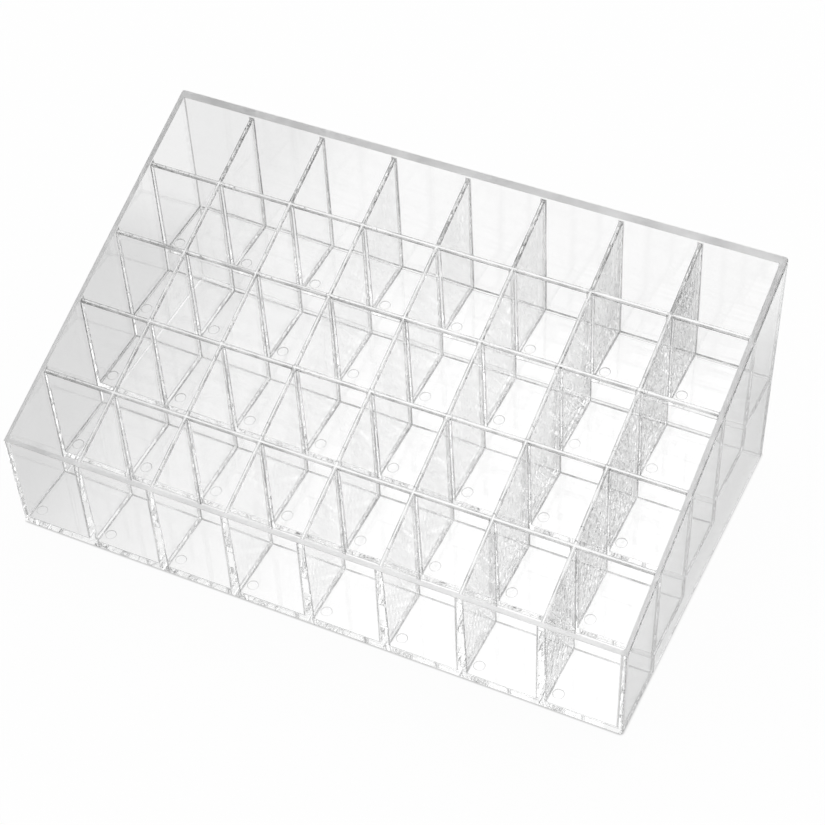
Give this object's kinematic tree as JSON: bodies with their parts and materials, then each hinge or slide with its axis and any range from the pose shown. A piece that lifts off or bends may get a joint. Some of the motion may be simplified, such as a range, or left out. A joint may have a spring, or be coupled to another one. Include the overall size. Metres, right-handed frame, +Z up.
{
  "type": "lipstick organizer",
  "caption": "Clear stepped organizer tray with a sloping rim and a grid of upright slots on rising floors that hold lipsticks so that every row can be seen.",
  "frame": {"origin": "middle of the footprint, on the table", "axes": "+X to the right seen from the front, +Y from the low front towards the high back, +Z up"},
  "size_m": [0.225, 0.134, 0.0914],
  "materials": {
    "clear_plastic": "polished, clear"
  },
  "bodies": {
    "root": {"front_wall": "clear_plastic", "back_wall": "clear_plastic", "left_side_wall": "clear_plastic", "right_side_wall": "clear_plastic", "slot_floor_row_1": "clear_plastic", "slot_floor_row_2": "clear_plastic", "slot_floor_row_3": "clear_plastic", "slot_floor_row_4": "clear_plastic", "slot_floor_row_5": "clear_plastic", "row_divider_1": "clear_plastic", "row_divider_2": "clear_plastic", "row_divider_3": "clear_plastic", "row_divider_4": "clear_plastic", "column_divider_1": "clear_plastic", "column_divider_2": "clear_plastic", "column_divider_3": "clear_plastic", "column_divider_4": "clear_plastic", "column_divider_5": "clear_plastic", "column_divider_6": "clear_plastic", "column_divider_7": "clear_plastic"}
  },
  "joints": []
}
